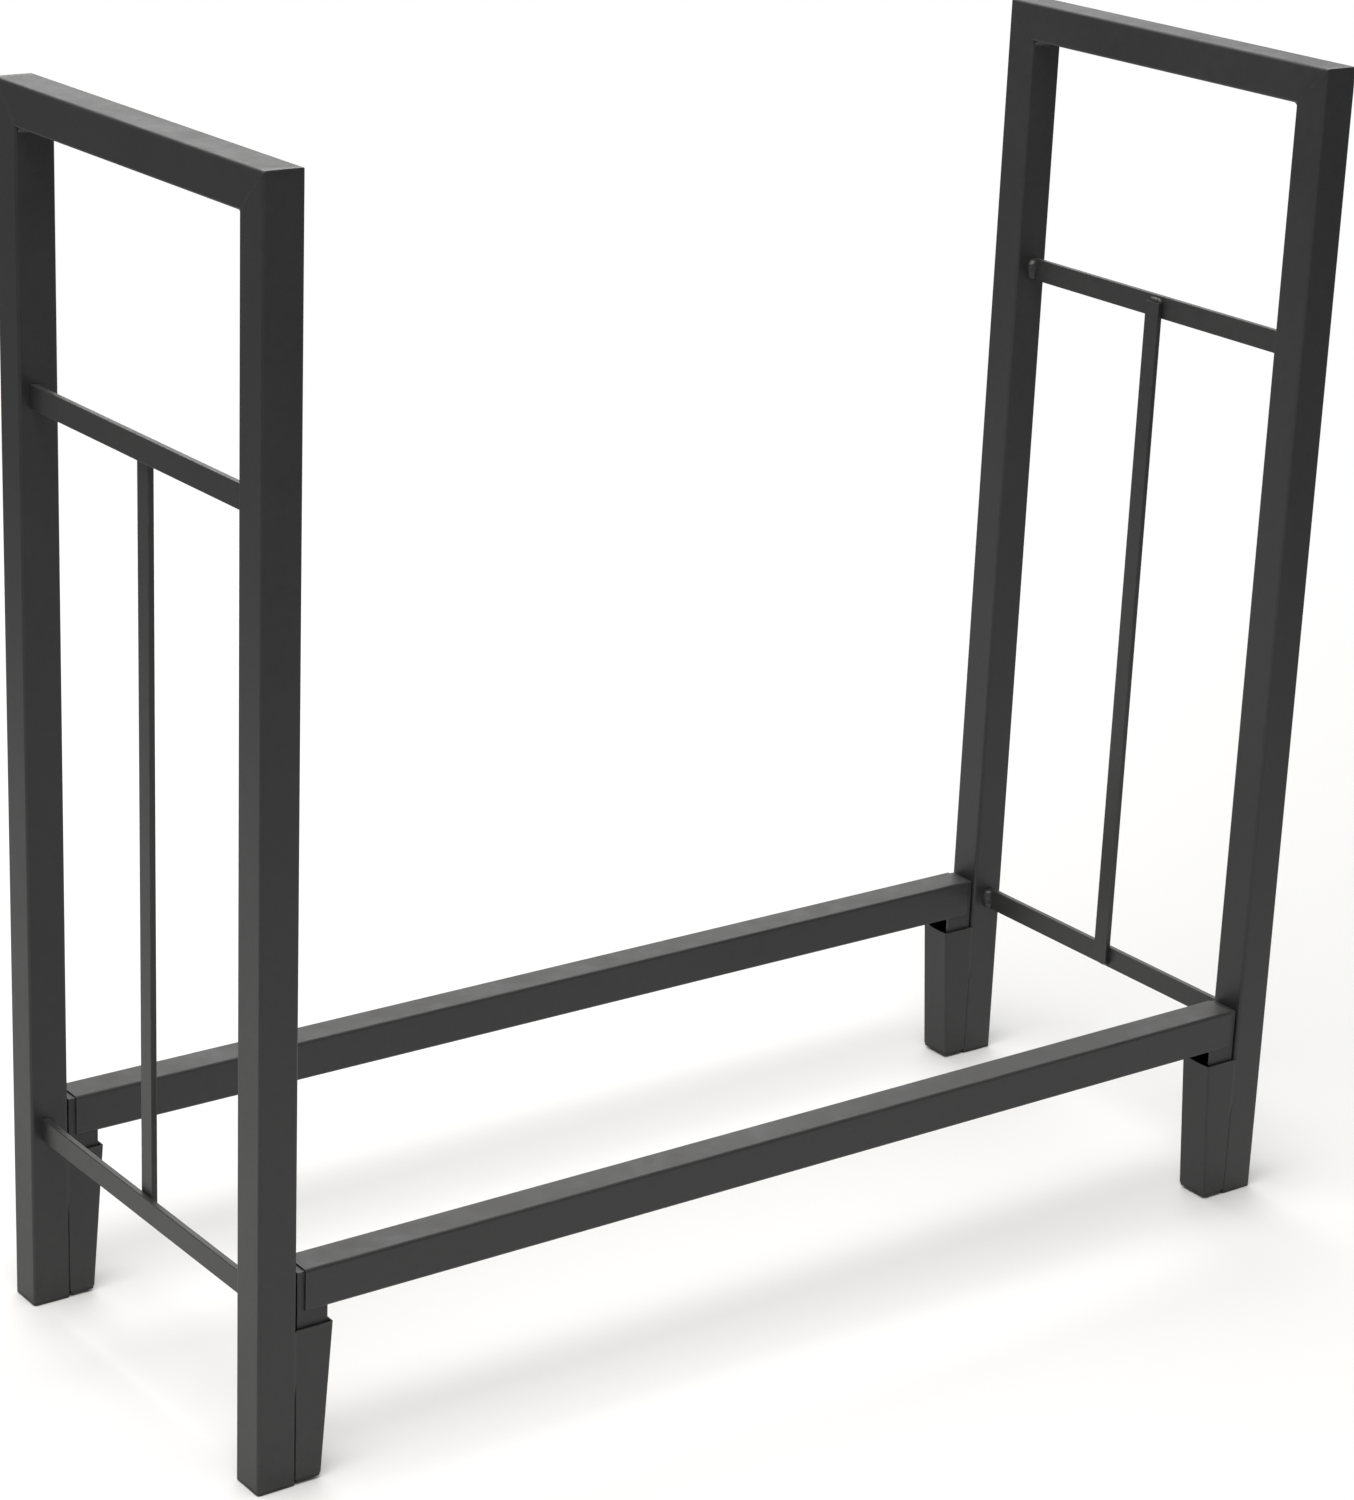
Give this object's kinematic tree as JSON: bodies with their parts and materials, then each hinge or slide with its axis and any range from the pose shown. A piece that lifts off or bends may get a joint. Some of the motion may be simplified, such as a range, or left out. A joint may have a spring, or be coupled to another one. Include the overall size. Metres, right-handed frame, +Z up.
{
  "type": "firewood log rack",
  "caption": "Open firewood log rack: welded square-tube end frames with flat-bar infill, joined by long rails whose shoes drop into tapered sockets on the legs.",
  "frame": {"origin": "on the floor, under the middle of the rack (centre of the footprint)", "axes": "+X along the rack's length from the left end frame to the right one, +Y from the front to the rear, +Z up"},
  "size_m": [0.791, 0.303, 0.775],
  "materials": {
    "frame_coat": "satin charcoal powder coat, fine orange peel",
    "bar_coat": "satin charcoal powder coat, fine orange peel",
    "socket_coat": "satin charcoal powder coat, fine orange peel",
    "shoe_coat": "satin charcoal powder coat, fine orange peel",
    "rail_coat": "satin charcoal powder coat, fine orange peel",
    "weld_coat": "weld bead under the same powder coat",
    "foot_plastic": "matte black"
  },
  "bodies": {
    "root": {"left_top_rail": "frame_coat", "left_upper_crossbar": "bar_coat", "left_lower_crossbar": "bar_coat", "left_centre_bar": "bar_coat", "left_frame_welds": "weld_coat", "left_front_post": "frame_coat", "left_front_socket": "socket_coat", "left_front_rail_shoe": "shoe_coat", "left_front_foot_plug": "foot_plastic", "left_front_socket_plug": "foot_plastic", "left_rear_post": "frame_coat", "left_rear_socket": "socket_coat", "left_rear_rail_shoe": "shoe_coat", "left_rear_foot_plug": "foot_plastic", "left_rear_socket_plug": "foot_plastic", "right_top_rail": "frame_coat", "right_upper_crossbar": "bar_coat", "right_lower_crossbar": "bar_coat", "right_centre_bar": "bar_coat", "right_frame_welds": "weld_coat", "right_front_post": "frame_coat", "right_front_socket": "socket_coat", "right_front_rail_shoe": "shoe_coat", "right_front_foot_plug": "foot_plastic", "right_front_socket_plug": "foot_plastic", "right_rear_post": "frame_coat", "right_rear_socket": "socket_coat", "right_rear_rail_shoe": "shoe_coat", "right_rear_foot_plug": "foot_plastic", "right_rear_socket_plug": "foot_plastic", "front_rail": "rail_coat", "rear_rail": "rail_coat"}
  },
  "joints": []
}
